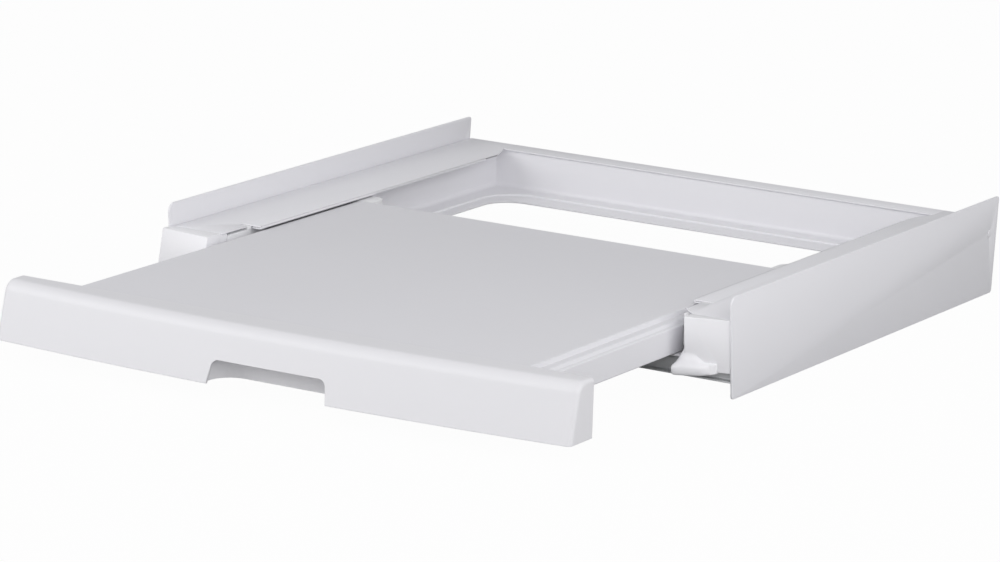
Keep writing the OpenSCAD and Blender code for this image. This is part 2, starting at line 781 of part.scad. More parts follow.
// Plan of the panel's ends, with tangents of the bow that meet before its middle
module panel_ends(inset) {
    x = panel_x - inset;
    r = max(panel_end_r - inset, 1);
    front = panel_back - panel_foot + inset;
    peak = front - x * tan(bow_angle / 2);
    rear = panel_back + panel_h;
    polygon(rounded_outline([[-x, rear], [-x, front], [0, peak], [x, front], [x, rear]],
        [edge_r, r, edge_r, r, edge_r]));
}

// The panel's ends lean back with its face
module panel_body(inset) {
    over = inset > 0 ? cut : 0;
    foot_y = panel_back - panel_foot;
    intersection() {
        translate([0, bow_y, 0]) rotate(-90 - bow_angle / 2)
            rotate_extrude(angle = bow_angle, $fn = bow_fn) panel_section(inset);
        translate([0, foot_y, panel_z0]) rotate([-panel_slope, 0, 0])
            translate([0, -foot_y, -panel_h]) linear_extrude(3 * panel_h) panel_ends(inset);
        block([-panel_x, panel_nose, panel_z0 - over], [panel_x, panel_back + over, panel_z1]);
    }
}

module recess_outline(grow) {
    x = recess_x + grow;
    top = recess_z + grow;
    polygon(rounded_outline([[-x - cut * 0.2, panel_z0 - cut], [x + cut * 0.2, panel_z0 - cut],
        [x - recess_taper, top], [-x + recess_taper, top]], [0.1, 0.1, recess_r, recess_r]));
}

// Front panel: a bowed and sloped moulding with ribs, bosses and a finger recess
module front_panel() {
    cup_x = recess_x + cup_wall + 2 * seat;
    rib_n = floor((shelf_x - return_w - recess_x) / rib_pitch);
    first_rib = recess_x + 3 * cup_wall;
    rib_x = [for (i = [0 : rib_n]) first_rib + i * rib_pitch];
    color("white") set_down() difference() {
        union() {
            difference() {
                panel_body(0);
                panel_body(panel_wall);
            }
            intersection() {
                panel_body(panel_wall / 2);
                union() {
                    for (x = rib_x, side = [-1, 1])
                        block([side * x - rib_t / 2, panel_nose, panel_z0 + 2], [side * x + rib_t / 2, rib_back, panel_z1]);
                    block([-rib_t / 2, panel_nose, recess_z + 2 * cup_wall], [rib_t / 2, rib_back, panel_z1]);
                    for (x = boss_x, side = [-1, 1])
                        rod_y([side * x, panel_nose, boss_z], boss_r, shelf_front - panel_nose);
                }
            }
        }
        along_y(panel_nose - cut, panel_nose + panel_bow) recess_outline(0);
        for (x = boss_x, side = [-1, 1])
            rod_y([side * x, shelf_front - panel_grip - cut, boss_z], screw_r + screw_gap / 2, panel_grip + 2 * cut);
    }
}

// Finger cup behind the recess
module cup_plan(inset) {
    x = recess_x + cup_wall - inset;
    back = panel_nose + cup_d + cup_wall - inset;
    r = cup_r + cup_wall - inset;
    polygon(rounded_outline([[-x, panel_nose], [x, panel_nose], [x, back], [-x, back]], [0.1, 0.1, r, r]));
}

module finger_cup() {
    low = panel_z0 + cup_rise;
    top = recess_z + cup_wall + seat;
    color("white") set_down() intersection() {
        difference() {
            translate([0, 0, low]) linear_extrude(top - low) cup_plan(0);
            translate([0, 0, low - cut]) linear_extrude(top - low - cup_wall + cut) cup_plan(cup_wall);
        }
        panel_body(panel_wall + seat);
    }
}

// Rear glides: blocks at the rear corners that run between the pan floor and the lip
module glide() {
    inner = shelf_x - glide_w;
    sole_x = shelf_x - 6.5;
    difference() {
        union() {
            translate([0, 0, flange_z + 2]) linear_extrude(glide_top - flange_z - 2)
                polygon(rounded_outline([[inner, glide_y], [shelf_x, glide_y], [shelf_x, glide_back], [inner, glide_back]],
                    [0.5, 0.5, 2, glide_r]));
            block([sole_x, glide_y, glide_z], [shelf_x, glide_back - 2, flange_z + 3]);
            block([end_x + seat, shelf_back - tongue_len, tongue_z0], [tray_in - seat, glide_y + 2, tongue_z1]);
            translate([0, 0, stop_z - stop_h / 2]) linear_extrude(stop_h)
                round_rect([shelf_x - 4, glide_y + ear_inset], [ear_x, glide_back - ear_inset], 2);
        }
        rod_x([end_x, glide_screw_y, stop_z], screw_r + screw_gap / 2, tray_in - end_x);
        // Lightening pocket, open at the rear
        block([inner + 4, glide_y + 5, flange_z + 6], [sole_x - 3, glide_back + cut, glide_top - 5]);
    }
}

module glide_screws() {
    len = shelf_t + seat + shoulder_w - 2 * cut;
    color("silver") set_down() both_sides()
        translate([shelf_x - len, glide_screw_y, stop_z]) rotate([0, 90, 0]) screw(len);
}

module panel_screws() {
    len = shelf_t + panel_grip;
    color("silver") set_down() for (x = boss_x, side = [-1, 1])
        translate([side * x, shelf_front + shelf_t - len, boss_z]) rotate([-90, 0, 0]) screw(len);
}

module left_skirt() { color("whitesmoke") set_down() mirror([1, 0, 0]) skirt(); }
module right_skirt() { color("whitesmoke") set_down() skirt(); }
module left_deck() { color("whitesmoke") set_down() mirror([1, 0, 0]) deck(); }
module right_deck() { color("whitesmoke") set_down() deck(); }
module left_end_cap() {
    color("white") set_down() mirror([1, 0, 0])
        end_cap(half_w, left_cap_w, left_cap_lead, left_cap_bow, left_cap_slope, left_nose_reach);
}
module right_end_cap() {
    color("white") set_down()
        end_cap(in_x - seat, right_cap_w, -right_cap_back, right_cap_bow, -right_cap_slope, right_nose_reach);
}
module left_guide() { color("snow") set_down() mirror([1, 0, 0]) guide(); }
module right_guide() { color("snow") set_down() guide(); }
module left_stop() { color("snow") set_down() mirror([1, 0, 0]) stop(); }
module right_stop() { color("snow") set_down() stop(); }
module left_glide() { color("snow") set_down() mirror([1, 0, 0]) glide(); }
module right_glide() { color("snow") set_down() glide(); }
module front_stiffener() { stiffener(shelf_front + stiff_1); }
module rear_stiffener() { stiffener(shelf_front + stiff_2); }

left_skirt();
right_skirt();
left_deck();
right_deck();
rear_rail();
base_pan();
front_brace();
left_end_cap();
right_end_cap();
left_guide();
right_guide();
left_stop();
right_stop();
frame_pads();
skirt_rivets();
brace_screws();
guide_screws();
shelf_tray();
front_stiffener();
rear_stiffener();
front_panel();
finger_cup();
left_glide();
right_glide();
panel_screws();
glide_screws();
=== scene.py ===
import json
import math
from collections import namedtuple

import bmesh
import bpy
from bpy.props import FloatProperty, FloatVectorProperty, PointerProperty
from mathutils import Matrix, Vector

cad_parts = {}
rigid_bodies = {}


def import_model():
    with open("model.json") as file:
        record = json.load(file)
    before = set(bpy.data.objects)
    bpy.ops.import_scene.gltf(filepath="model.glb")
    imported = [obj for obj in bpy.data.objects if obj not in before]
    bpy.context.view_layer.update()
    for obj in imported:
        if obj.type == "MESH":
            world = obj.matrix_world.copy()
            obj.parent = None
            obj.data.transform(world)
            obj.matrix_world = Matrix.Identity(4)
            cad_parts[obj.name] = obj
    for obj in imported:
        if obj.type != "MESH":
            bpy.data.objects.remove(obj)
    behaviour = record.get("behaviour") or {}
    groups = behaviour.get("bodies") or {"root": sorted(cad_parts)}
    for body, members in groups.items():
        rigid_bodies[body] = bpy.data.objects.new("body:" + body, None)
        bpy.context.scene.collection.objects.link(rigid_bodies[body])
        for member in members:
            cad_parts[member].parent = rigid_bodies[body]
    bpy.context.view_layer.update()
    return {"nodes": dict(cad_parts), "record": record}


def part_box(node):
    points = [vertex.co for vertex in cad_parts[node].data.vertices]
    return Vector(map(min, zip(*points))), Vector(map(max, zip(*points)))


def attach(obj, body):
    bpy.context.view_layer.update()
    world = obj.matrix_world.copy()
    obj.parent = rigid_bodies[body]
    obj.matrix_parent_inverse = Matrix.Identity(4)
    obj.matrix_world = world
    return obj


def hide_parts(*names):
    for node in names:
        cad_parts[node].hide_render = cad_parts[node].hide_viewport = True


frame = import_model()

bl_info = {
    "name": "Stacking kit with pull-out shelf",
    "version": (1, 0, 0),
    "blender": (4, 5, 0),
    "location": "View3D > Sidebar > Stacking kit",
    "description": "Dresses the frame, the shelf and the front panel of a stacking kit",
    "category": "Object",
}

NODES = frame["nodes"]
BODY_OF = {
    node: body for body, nodes in frame["record"]["behaviour"]["bodies"].items() for node in nodes
}

# These two say where they begin, in the scene's metres.
MM = 0.001
FRONT_EDGE_Y = -0.128727
DECK_Z = 0.072


def at(x, y, z):
    return Vector((x * MM, y * MM + FRONT_EDGE_Y, z * MM + DECK_Z))


def spot(x, y, z):
    return (x / MM, (y - FRONT_EDGE_Y) / MM, (z - DECK_Z) / MM)


def box_mm(node):
    return [spot(*corner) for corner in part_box(node)]


# Materials

# How far the rounded normal has turned from the true one where the lighter edge colour, partly wear
# and partly painted highlight, begins and is full
EDGE_TURN = (0.03, 0.25)
# The upward share of the normal where the painted shade on upward faces begins and is full
PAINTED_TOP_SHADE_TILT = (0.3, 0.95)
# The span of the noise that is spread over a finish's range of roughness
NOISE_SPAN = (0.35, 0.65)
SPECK_SHARE = 0.6
SPECULAR = "Specular IOR Level"


def put(tree, socket, value):
    """Sets a socket to a value, or links another node's socket to it."""
    if isinstance(value, bpy.types.NodeSocket):
        tree.links.new(value, socket)
    else:
        socket.default_value = value


def add(tree, kind, inputs=None, **settings):
    """Adds a node with its settings and with what goes into its sockets."""
    node = tree.nodes.new(kind)
    for key, value in settings.items():
        setattr(node, key, value)
    for key, value in (inputs or {}).items():
        put(tree, node.inputs[key], value)
    return node


def math_node(tree, operation, a, b):
    return add(tree, "ShaderNodeMath", {0: a, 1: b}, operation=operation).outputs[0]


def noise(tree, scale, detail, roughness=0.5):
    place = tree.nodes.new("ShaderNodeTexCoord").outputs["Object"]
    inputs = {"Vector": place, "Scale": scale, "Detail": detail, "Roughness": roughness}
    return add(tree, "ShaderNodeTexNoise", inputs).outputs["Fac"]


def smooth_step(tree, value, span):
    """0 below the span, 1 above it and a smooth rise between."""
    inputs = {"Value": value, "From Min": span[0], "From Max": span[1]}
    step = add(tree, "ShaderNodeMapRange", inputs, interpolation_type="SMOOTHSTEP")
    return step.outputs["Result"]


def coating_group():
    """Colour drift, painted shade on upward faces, lighter edges that are partly wear and partly
    painted highlight, and the skin of a coated or moulded surface.
    """
    group = bpy.data.node_groups.new("coated_surface", "ShaderNodeTree")
    tint, number, vector = "NodeSocketColor", "NodeSocketFloat", "NodeSocketVector"
    sockets = {
        "INPUT": {
            "Colour": tint, "Edge Colour": tint, "Drift": number, "Speck": number,
            "Top Dust": number, "Skin Scale": number, "Roughness Low": number,
            "Roughness High": number, "Edge Radius": number,
        },
        "OUTPUT": {"Colour": tint, "Roughness": number, "Skin": number, "Normal": vector},
    }
    for way, names in sockets.items():
        for name, kind in names.items():
            group.interface.new_socket(name=name, in_out=way, socket_type=kind)
    given = group.nodes.new("NodeGroupInput").outputs
    broad = noise(group, 3.2, 3.0)
    fine = noise(group, 60.0, 4.0, 0.6)
    skin = noise(group, given["Skin Scale"], 2.0)

    # Where an edge turns, for the lighter edge colour that is partly painted highlight, and where a
    # face looks up, for the painted top shade
    round_edge = add(group, "ShaderNodeBevel", {"Radius": given["Edge Radius"]}, samples=4)
    rounded = round_edge.outputs["Normal"]
    normal = group.nodes.new("ShaderNodeNewGeometry").outputs["Normal"]
    match = add(group, "ShaderNodeVectorMath", {0: rounded, 1: normal}, operation="DOT_PRODUCT")
    bent = math_node(group, "SUBTRACT", 1.0, match.outputs["Value"])
    edge = smooth_step(group, bent, EDGE_TURN)
    rise = add(group, "ShaderNodeSeparateXYZ", {0: normal}).outputs["Z"]
    # Painted shade: upward faces are made darker than the sides by the top shade share
    painted_top_shade = math_node(group, "MULTIPLY", smooth_step(group, rise, PAINTED_TOP_SHADE_TILT), given["Top Dust"])

    drift = math_node(group, "MULTIPLY", math_node(group, "SUBTRACT", broad, 0.5), given["Drift"])
    speck = math_node(group, "MULTIPLY", math_node(group, "SUBTRACT", fine, 0.5), given["Speck"])
    shade = math_node(group, "ADD", math_node(group, "ADD", drift, speck), 1.0)
    shade = math_node(group, "SUBTRACT", shade, painted_top_shade)
    grey = add(group, "ShaderNodeCombineColor", {0: shade, 1: shade, 2: shade})
    shaded = add(
        group, "ShaderNodeMix", {"Factor": 1.0, "A": given["Colour"], "B": grey.outputs["Color"]},
        data_type="RGBA", blend_type="MULTIPLY",
    )
    # Edges take the lighter edge colour: partly wear, partly a painted highlight along the folds
    edge_wear_and_sheen = add(
        group, "ShaderNodeMix",
        {
            "Factor": math_node(group, "MULTIPLY", edge, fine),
            "A": shaded.outputs["Result"], "B": given["Edge Colour"],
        },
        data_type="RGBA",
    )

    mean = math_node(group, "MULTIPLY", math_node(group, "ADD", broad, fine), 0.5)
    rough = add(group, "ShaderNodeMapRange", {
        "Value": mean, "From Min": NOISE_SPAN[0], "From Max": NOISE_SPAN[1],
        "To Min": given["Roughness Low"], "To Max": given["Roughness High"],
    })
    add(group, "NodeGroupOutput", {
        "Colour": edge_wear_and_sheen.outputs["Result"], "Roughness": rough.outputs["Result"],
        "Skin": skin, "Normal": rounded,
    })
    return group


def coated_material(
    name, colour, edge, rough, drift, skin_scale, edge_radius, bump_strength, bump_depth,
    shader_values, painted_top_shade=0.0,
):
    """A painted, moulded or plated finish on the coated_surface group, with lengths in mm; its top
    shade darkens upward faces as painted shade.
    """
    material = bpy.data.materials.new(name)
    material.use_nodes = True
    tree = material.node_tree
    surface = add(
        tree, "ShaderNodeGroup",
        {
            "Colour": (*colour, 1), "Edge Colour": (*edge, 1), "Drift": drift,
            "Speck": drift * SPECK_SHARE, "Top Dust": painted_top_shade, "Skin Scale": skin_scale,
            "Roughness Low": rough[0], "Roughness High": rough[1], "Edge Radius": edge_radius * MM,
        },
        node_tree=bpy.data.node_groups.get("coated_surface") or coating_group(),
    ).outputs
    relief = add(tree, "ShaderNodeBump", {
        "Strength": bump_strength, "Distance": bump_depth * MM,
        "Height": surface["Skin"], "Normal": surface["Normal"],
    })
    shader = tree.nodes["Principled BSDF"].inputs
    put(tree, shader["Base Color"], surface["Colour"])
    put(tree, shader["Roughness"], surface["Roughness"])
    put(tree, shader["Normal"], relief.outputs["Normal"])
    for key, value in shader_values.items():
        shader[key].default_value = value
    return material


def cap_plastic(colours):
    """The plastic of the end caps and the finger cup, made for the first of them; it is the panel's
    plastic painted lighter, for the light on the caps and in the cup.
    """
    return bpy.data.materials.get("cap_plastic") or coated_material(
        "cap_plastic", colours.cap_colour_painted_lighter, edge=(0.9, 0.9, 0.9), rough=(0.34, 0.42), drift=0.01,
        skin_scale=1500.0, edge_radius=0.3, bump_strength=0.02, bump_depth=0.01,
        shader_values={SPECULAR: 0.4},
    )


def finish(node, material):
    """Gives a CAD node its finished material in place of the plain one."""
    materials = NODES[node].data.materials
    materials.clear()
    materials.append(material)


def dress(piece, material, node):
    """Gives a piece its material and the body of the CAD node that it stands for, and hides that
    node.
    """
    piece.data.materials.clear()
    piece.data.materials.append(material)
    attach(piece, BODY_OF[node])
    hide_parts(node)


# Modelling steps that the pieces share, with angles in degrees

NEAR = 0.05
SHARP_ANGLE = 35
SMOOTH_ANGLE = 40
# A CAD node's triangles become whole faces: corners this close are one, and faces this flat too
MERGE_DISTANCE = 0.004
FLAT_ANGLE = 0.6


def near(a, b):
    return abs(a - b) < NEAR


def pick(piece):
    """Selects one piece alone."""
    bpy.ops.object.select_all(action="DESELECT")
    piece.select_set(True)
    bpy.context.view_layer.objects.active = piece


def start(kind, name, **size):
    """Adds a primitive as the start of a new piece and enters it, with nothing else selected."""
    bpy.ops.object.select_all(action="DESELECT")
    getattr(bpy.ops.mesh, f"primitive_{kind}_add")(**size)
    piece = bpy.context.object
    piece.name = name
    bpy.ops.object.transform_apply(location=True, rotation=True, scale=True)
    bpy.ops.object.mode_set(mode="EDIT")
    return piece


def enter(piece):
    pick(piece)
    bpy.ops.object.mode_set(mode="EDIT")


def leave(piece):
    bpy.ops.object.mode_set(mode="OBJECT")
    return piece


def choose(kind, test):
    """Selects the corners, edges or faces of the entered piece that pass a test, and no others."""
    bpy.ops.mesh.select_mode(type=kind)
    bpy.ops.mesh.select_all(action="DESELECT")
    piece = bpy.context.object
    form = bmesh.from_edit_mesh(piece.data)
    parts = {"VERT": form.verts, "EDGE": form.edges, "FACE": form.faces}[kind]
    chosen = [part for part in parts if test(part)]
    if not chosen:
        raise RuntimeError(f"nothing to shape on {piece.name}")
    for part in chosen:
        part.select_set(True)
    form.select_flush_mode()
    bmesh.update_edit_mesh(piece.data)


def choose_corners(test):
    """Selects the corners whose place, in millimetres, passes a test."""
    choose("VERT", lambda corner: test(*spot(*corner.co)))


def both_ends(edge, test):
    return all(test(*spot(*corner.co)) for corner in edge.verts)


def select_all():
    bpy.ops.mesh.select_all(action="SELECT")


def pull(x=0.0, y=0.0, z=0.0):
    """Extrudes what is selected by a step in millimetres."""
    bpy.ops.mesh.extrude_region_move(TRANSFORM_OT_translate={"value": (x * MM, y * MM, z * MM)})


def cut(point, facing):
    """Cuts away all that lies past a plane, on the side that it faces."""
    select_all()
    bpy.ops.mesh.bisect(plane_co=point, plane_no=facing, clear_outer=True)


def close_cuts():
    select_all()
    bpy.ops.mesh.fill_holes(sides=0)


def face_outwards():
    select_all()
    bpy.ops.mesh.normals_make_consistent(inside=False)


def trace(points):
    """Turns the new primitive into a chain of edges through the points, given in millimetres."""
    bpy.ops.mesh.select_mode(type="VERT")
    select_all()
    bpy.ops.mesh.merge(type="CENTER")
    first = bmesh.from_edit_mesh(bpy.context.object.data).verts[:][0].co
    bpy.ops.transform.translate(value=at(*points[0]) - first)
    for before, after in zip(points, points[1:]):
        pull(*(Vector(after) - Vector(before)))


def fill():
    """Fills the traced outline with one face."""
    select_all()
    bpy.ops.mesh.edge_face_add()


def slab(name, points, **thickness):
    """A filled outline, pulled to a solid."""
    piece = start("plane", name, size=MM)
    trace(points)
    fill()
    pull(**thickness)
    face_outwards()
    return leave(piece)


def modify(piece, kind, **settings):
    """Adds a modifier, sets it and applies it."""
    pick(piece)
    modifier = piece.modifiers.new(kind.lower(), kind)
    for key, value in settings.items():
        setattr(modifier, key, value)
    bpy.ops.object.modifier_apply(modifier=modifier.name)


def soften(piece, width, segments=2):
    """Breaks the sharp edges of a finished piece and shades it smooth."""
    modify(
        piece, "BEVEL", width=width * MM, segments=segments, limit_method="ANGLE",
        angle_limit=math.radians(SHARP_ANGLE), use_clamp_overlap=False, miter_outer="MITER_ARC",
    )
    bpy.ops.object.shade_smooth_by_angle(angle=math.radians(SMOOTH_ANGLE))


def thicken(piece, wall):
    """Gives a shell its wall, inwards; the thickness is in metres."""
    modify(piece, "SOLIDIFY", thickness=wall, offset=-1.0, use_even_offset=True)


def even_shading(piece):
    """Lets the large faces set the shading beside the rounded edges."""
    modify(piece, "WEIGHTED_NORMAL", keep_sharp=True, weight=50)


def merged_copy(node):
    """A copy of a CAD node with its triangles merged to whole faces."""
    pick(NODES[node])
    bpy.ops.object.duplicate(linked=False)
    piece = bpy.context.object
    piece.name = f"{node}_piece"
    bpy.ops.object.parent_clear(type="CLEAR_KEEP_TRANSFORM")
    bpy.ops.object.mode_set(mode="EDIT")
    select_all()
    bpy.ops.mesh.remove_doubles(threshold=MERGE_DISTANCE * MM)
    bpy.ops.mesh.dissolve_limited(angle_limit=math.radians(FLAT_ANGLE))
    return leave(piece)


def keep_inside(piece, node):
    """Brings any corner that a bevel threw past the CAD node's box back onto it."""
    low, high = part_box(node)
    for corner in piece.data.vertices:
        corner.co = [
            min(max(value, least), most) for value, least, most in zip(corner.co, low, high)
        ]
    return piece


def soft_copy(node, width, segments=2):
    """A copy of a CAD node with its sharp edges broken."""
    piece = merged_copy(node)
    soften(piece, width, segments)
    return keep_inside(piece, node)


def join(piece, *others):
    """Joins other pieces into one."""
    bpy.ops.object.select_all(action="DESELECT")
    for part in (*others, piece):
        part.select_set(True)
    bpy.context.view_layer.objects.active = piece
    bpy.ops.object.join()


def twin(piece, name):
    """A second piece with a mesh of its own."""
    other = piece.copy()
    other.data = piece.data.copy()
    other.name = name
    bpy.context.collection.objects.link(other)
    return other


# Sizes, colours and lamps that a user would change


class KitFinishes(bpy.types.PropertyGroup):
    frame_colour: FloatVectorProperty(
        name="Frame", description="Powder coat of the frame",
        default=(0.80, 0.795, 0.825), subtype="COLOR", size=3,
    )
    shelf_colour: FloatVectorProperty(
        name="Shelf", description="Powder coat of the shelf",
        default=(0.77, 0.765, 0.795), subtype="COLOR", size=3,
    )
    panel_colour: FloatVectorProperty(
        name="Front panel", description="Plastic of the front panel",
        default=(0.745, 0.74, 0.765), subtype="COLOR", size=3,
    )
    # The panel's plastic, painted lighter for the light that falls on the caps and into the finger
    # cup
    cap_colour_painted_lighter: FloatVectorProperty(
        name="End caps", description="Plastic of the end caps and the finger cup",
        default=(0.845, 0.84, 0.865), subtype="COLOR", size=3,
    )
    nylon_colour: FloatVectorProperty(
        name="Nylon", description="Nylon of the guides, stops and glides",
        default=(0.83, 0.83, 0.845), subtype="COLOR", size=3,
    )


class PanelSizes(bpy.types.PropertyGroup):
    width: FloatProperty(
        name="Width", description="Width of the front panel", default=0.594, unit="LENGTH"
    )
    foot: FloatProperty(
        name="Foot", description="Depth of the panel's ends at the foot", default=0.036,
        unit="LENGTH",
    )
    top: FloatProperty(
        name="Top", description="Depth of the panel's ends at the top", default=0.023,
        unit="LENGTH",
    )
    bow: FloatProperty(
        name="Bow", description="Forward bow of the panel at its middle", default=0.014,
        unit="LENGTH",
    )
    wall: FloatProperty(
        name="Wall", description="Wall thickness of the panel", default=0.003, unit="LENGTH"
    )
    top_round: FloatProperty(
        name="Top round", description="Radius of the upper front edge", default=0.013,
        unit="LENGTH",
    )
    end_round: FloatProperty(
        name="End round", description="Radius of the edges of the ends", default=0.0042,
        unit="LENGTH",
    )
    rim_round: FloatProperty(
        name="Rim round", description="Radius of the rims of the open sides", default=0.00045,
        unit="LENGTH",
    )


class RecessSizes(bpy.types.PropertyGroup):
    width: FloatProperty(
        name="Width", description="Width of the finger recess", default=0.123, unit="LENGTH"
    )
    height: FloatProperty(
        name="Height", description="Height of the finger recess", default=0.021, unit="LENGTH"
    )
    taper: FloatProperty(
        name="Taper", description="How much narrower each side is at the top", default=0.0035,
        unit="LENGTH",
    )
    corner: FloatProperty(
        name="Corner", description="Radius of the top corners", default=0.006, unit="LENGTH"
    )
    cup_corner: FloatProperty(
        name="Cup corner", description="Radius of the cup's rear corners", default=0.024,
        unit="LENGTH",
    )
    cup_wall: FloatProperty(
        name="Cup wall", description="Wall thickness of the cup", default=0.002, unit="LENGTH"
    )


class KitLight(bpy.types.PropertyGroup):
    sky: FloatProperty(
        name="Sky", description="Strength of the even light", default=0.42, min=0, max=2
    )
    front: FloatProperty(
        name="Front lamp", description="Power of the soft lamp beside the camera", default=11.6,
        min=0, unit="POWER",
    )
    left: FloatProperty(
        name="Left lamp", description="Power of the soft lamp on the left", default=23.8, min=0,
        unit="POWER",
    )
    right: FloatProperty(
        name="Right lamp", description="Power of the soft lamp on the right", default=16.8, min=0,
        unit="POWER",
    )
    back: FloatProperty(
        name="Back lamp", description="Power of the soft lamp behind", default=7.0, min=0,
        unit="POWER",
    )


# The frame and the shelf

FRAME_SHEETS = ("left_skirt", "right_skirt", "left_deck", "right_deck", "rear_rail", "base_pan")
# The right deck's front inner corner runs slantwise from the end cap to the guide's head:
# a point on that line, and the way that the cut faces
DECK_CORNER = (257.7, 8, 0)
DECK_CORNER_FACING = (-22, -14.2, 0)


class KIT_OT_coated_steel(bpy.types.Operator):
    """Powder coat for the skirts, decks, rear rail and base pan"""

    bl_idname = "kit.coated_steel"
    bl_label = "Coat the frame"

    def execute(self, context):
        coat = coated_material(
            "frame_powder_coat", context.scene.kit_finishes.frame_colour, edge=(0.86, 0.86, 0.86),
            rough=(0.36, 0.5), drift=0.02, skin_scale=700.0, edge_radius=0.7, bump_strength=0.12,
            bump_depth=0.05, shader_values={SPECULAR: 0.45},
        )
        for node in FRAME_SHEETS:
            piece = merged_copy(node)
            if node == "right_deck":
                enter(piece)
                cut(at(*DECK_CORNER), DECK_CORNER_FACING)
                close_cuts()
                leave(piece)
            soften(piece, 0.35)
            dress(keep_inside(piece, node), coat, node)
        finish("skirt_rivets", coat)
        return {"FINISHED"}


class KIT_OT_shelf(bpy.types.Operator):
    """Powder coat for the shelf tray"""

    bl_idname = "kit.shelf"
    bl_label = "Coat the shelf"

    def execute(self, context):
        # The shelf's coat darkens its upward faces with painted shade
        coat = coated_material(
            "shelf_powder_coat", context.scene.kit_finishes.shelf_colour, edge=(0.78, 0.78, 0.79),
            rough=(0.45, 0.58), drift=0.02, skin_scale=620.0, edge_radius=0.3, bump_strength=0.12,
            bump_depth=0.05, shader_values={SPECULAR: 0.35}, painted_top_shade=0.05,
        )
        tray = soft_copy("shelf_tray", 0.25)
        even_shading(tray)
        dress(tray, coat, "shelf_tray")
        return {"FINISHED"}


# The front panel and its cup, with lengths in millimetres

SPIN_STEPS = 44
# How far the spun front and top run past the ends, in radians, and past the back, before the cuts
SPIN_SPARE = 0.002
TOP_SPARE = 4
# The outline of an end turns by about 84 degrees, so its bevel's offset is less than the radius
END_OFFSET = 0.9
# The recess cutter: how far it begins before the panel, its length, how far it reaches below the
# foot, and how much wider each side is there
CUTTER_LEAD = 10
CUTTER_LENGTH = 34
CUTTER_DROP = 2
CUTTER_FLARE = 0.3
RIB_PLACES = (-67.5, 67.5, -121.5, 121.5, -175.5, 175.5, -229.5, 229.5, 0)
RIB_THICKNESS = 2
RIB_FOOT = 2
# The middle rib stands this far above the recess
MIDDLE_RIB_GAP = 4
# A rib's front edge turns back below the rolled edge: the drop from the top, and the step back
RIB_TURN_DROP = 14
RIB_TURN_STEP = 10
# How far a rib stays behind the open back
RIB_SET_BACK = 0.3
BOSS_PLACES = (-205, -97, 97, 205)
BOSS_DROP = 16
BOSS_RADIUS = 5
PILOT_RADIUS = 2
PILOT_DEPTH = 12
# How far ribs and bosses sink into the wall that they stand on
ROOT = 1
# The cup's plan is drawn from before its open front, which is then cut along the panel's slope
CUP_LEAD = 6
CUP_FRONT_STEP = 0.9
CUP_ROOF_ROUND = 2.6


class PanelShape:
    """The bowed and sloped front of the panel, in millimetres."""

    def __init__(self, sizes):
        (_, _, self.foot_z), (_, self.back_y, self.top_z) = box_mm("front_panel")
        self.end_x, self.foot, self.top, self.bow, self.wall = (
            value / MM for value in (sizes.width / 2, sizes.foot, sizes.top, sizes.bow, sizes.wall)
        )
        self.slope = (self.foot - self.top) / (self.top_z - self.foot_z)
        self.radius = (self.end_x**2 + self.bow**2) / (2 * self.bow)
        self.centre_y = self.back_y - self.foot - self.bow + self.radius
        self.sweep = math.asin(self.end_x / self.radius) + SPIN_SPARE

    def section_point(self, depth, z):
        """A point of the section that is spun, at a depth behind the front of the foot."""
        ray = self.radius - depth
        return (ray * math.sin(self.sweep), self.centre_y - ray * math.cos(self.sweep), z)

    def inner_y(self, x, z):
        """Where a rib or a boss begins, sunk into the front wall."""
        ray = self.radius - self.slope * (z - self.foot_z)
        return self.centre_y - math.sqrt(ray**2 - x**2) + self.wall - ROOT


def panel_skin(shape, sizes):
    """The front, the top and both ends of the panel, rounded and given their wall."""
    foot_z, top_z, back_y = shape.foot_z, shape.top_z, shape.back_y

    # The section of the front and the top, spun round the middle of the bow
    skin = start("plane", "front_panel_piece", size=MM)
    trace([
        shape.section_point(0, foot_z),
        shape.section_point(shape.foot - shape.top, top_z),
        shape.section_point(shape.foot + shape.bow + TOP_SPARE, top_z),
    ])
    select_all()
    bpy.ops.mesh.spin(
        steps=SPIN_STEPS, angle=2 * shape.sweep, center=at(0, shape.centre_y, 0), axis=(0, 0, 1)
    )
    for side in (-1, 1):
        cut(at(side * shape.end_x, 0, 0), (side, 0, 0))
    cut(at(0, back_y, 0), (0, 1, 0))

    # Both end walls
    ends = (-shape.end_x, shape.end_x)
    for end in ends:
        choose_corners(lambda x, y, z: near(x, end) and near(y, back_y))
        pull(z=foot_z - top_z)
        choose("EDGE", lambda e: both_ends(e, lambda x, y, z: near(x, end)))
        bpy.ops.mesh.edge_face_add()
    face_outwards()

    # The rolled top edge, then the outline of each end
    roll = math.radians(90) - math.atan(shape.slope)
    choose(
        "EDGE",
        lambda e: both_ends(e, lambda x, y, z: near(z, top_z) and y < back_y - shape.top + 1)
        and abs(e.verts[0].co.x - e.verts[1].co.x) > MM,
    )
    bpy.ops.mesh.bevel(
        offset=sizes.top_round * math.tan(roll / 2), segments=10, affect="EDGES",
        clamp_overlap=False,
    )
    for end in ends:
        choose(
            "EDGE",
            lambda e: both_ends(e, lambda x, y, z: near(x, end))
            and not both_ends(e, lambda x, y, z: near(y, back_y))
            and not both_ends(e, lambda x, y, z: near(z, foot_z)),
        )
        bpy.ops.mesh.bevel(
            offset=sizes.end_round * END_OFFSET, segments=6, affect="EDGES", clamp_overlap=False
        )
    leave(skin)
    thicken(skin, sizes.wall)
    return skin


